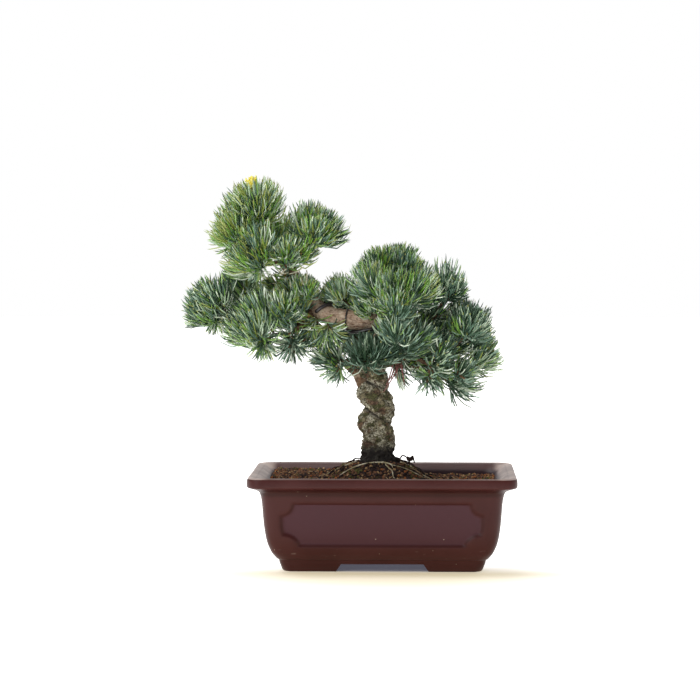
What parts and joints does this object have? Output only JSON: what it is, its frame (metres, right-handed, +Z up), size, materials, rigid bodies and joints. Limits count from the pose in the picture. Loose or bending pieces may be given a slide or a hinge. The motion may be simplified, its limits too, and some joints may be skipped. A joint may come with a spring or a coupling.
{
  "type": "japanese white pine bonsai in a rectangular pot",
  "caption": "Potted bonsai white pine: twisted leaning trunk, wired leader, boughs carrying pads of long needles, in a rectangular footed clay pot with recessed panels.",
  "frame": {"origin": "centre of the bounding box, on the table under the pot's feet", "axes": "+Z up, from the table to the top of the crown; -Y towards the viewer of the front; +X to the viewer's right, away from the leaning leader"},
  "size_m": [0.2752, 0.16, 0.3191],
  "materials": {
    "glazed_clay": "satin",
    "soil": "rough",
    "trunk_bark": "rough",
    "limb_bark": "rough",
    "needles": "satin",
    "wire": "satin",
    "root": "matte"
  },
  "bodies": {
    "root": {"pot": "glazed_clay", "soil": "soil", "trunk": "trunk_bark", "bough_crown_left": "limb_bark", "bough_crown_front": "limb_bark", "bough_crown_right": "limb_bark", "bough_crown_low": "limb_bark", "bough_crown_back": "limb_bark", "bough_left_far": "limb_bark", "bough_left_front": "limb_bark", "bough_left_low": "limb_bark", "bough_left_mid": "limb_bark", "bough_left_rear": "limb_bark", "bough_left_back": "limb_bark", "bough_top_left": "limb_bark", "bough_top_front": "limb_bark", "bough_top_main": "limb_bark", "bough_top_back": "limb_bark", "bough_right_upper": "limb_bark", "bough_right_mid": "limb_bark", "bough_right_far": "limb_bark", "bough_right_low": "limb_bark", "bough_right_front": "limb_bark", "bough_right_back": "limb_bark", "bough_mid_front": "limb_bark", "bough_low_front": "limb_bark", "bough_low_left": "limb_bark", "bough_low_back": "limb_bark", "needles_apex": "needles", "needles_crown_left": "needles", "needles_crown_front": "needles", "needles_crown_right": "needles", "needles_crown_low": "needles", "needles_crown_back": "needles", "needles_left_far": "needles", "needles_left_front": "needles", "needles_left_low": "needles", "needles_left_mid": "needles", "needles_left_inner": "needles", "needles_left_rear": "needles", "needles_left_back": "needles", "needles_top_left": "needles", "needles_top_front": "needles", "needles_top_main": "needles", "needles_top_back": "needles", "needles_right_upper": "needles", "needles_right_mid": "needles", "needles_right_far": "needles", "needles_right_low": "needles", "needles_right_front": "needles", "needles_right_back": "needles", "needles_mid_front": "needles", "needles_low_front": "needles", "needles_low_left": "needles", "needles_low_back": "needles", "leader_wire": "wire", "tie_wire": "wire", "surface_root_left": "root", "surface_root_front": "root", "surface_root_right": "root"}
  },
  "joints": []
}
